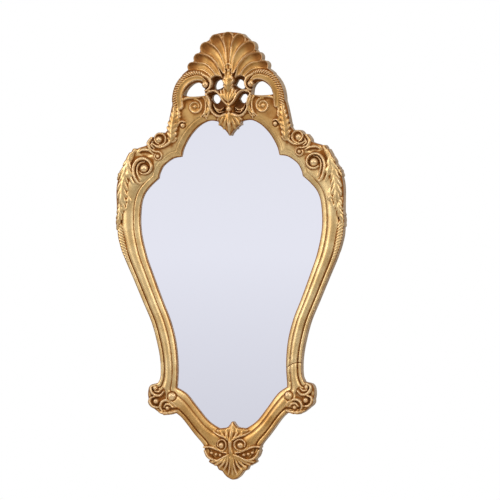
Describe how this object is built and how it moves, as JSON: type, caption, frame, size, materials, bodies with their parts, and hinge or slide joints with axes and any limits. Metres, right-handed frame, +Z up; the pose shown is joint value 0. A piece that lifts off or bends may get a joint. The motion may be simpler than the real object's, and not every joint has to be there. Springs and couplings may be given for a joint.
{
  "type": "wall mirror",
  "caption": "Upright wall mirror with a cartouche-shaped glass in a carved gilded frame, with a pierced shell crest, leafy shoulders and a scrolled lower bracket.",
  "frame": {"origin": "on the wall side of the hanger plate, on the metal just above its keyhole slot", "axes": "+Z up, +Y towards the wall, +X to the right of someone who looks at the glass"},
  "size_m": [0.4278, 0.0261, 0.7997],
  "materials": {
    "gilding": "gold leaf with brown patina",
    "silvered_glass": "polished",
    "backing": "bare hardboard",
    "steel": "plated"
  },
  "bodies": {
    "root": {"carved_frame": "gilding", "mirror_glass": "silvered_glass", "backing_board": "backing", "hanger_plate": "steel", "hanger_screw_1": "steel", "hanger_screw_2": "steel", "board_screw_1": "steel", "board_screw_2": "steel", "board_screw_3": "steel", "board_screw_4": "steel", "board_screw_5": "steel", "board_screw_6": "steel"}
  },
  "joints": []
}
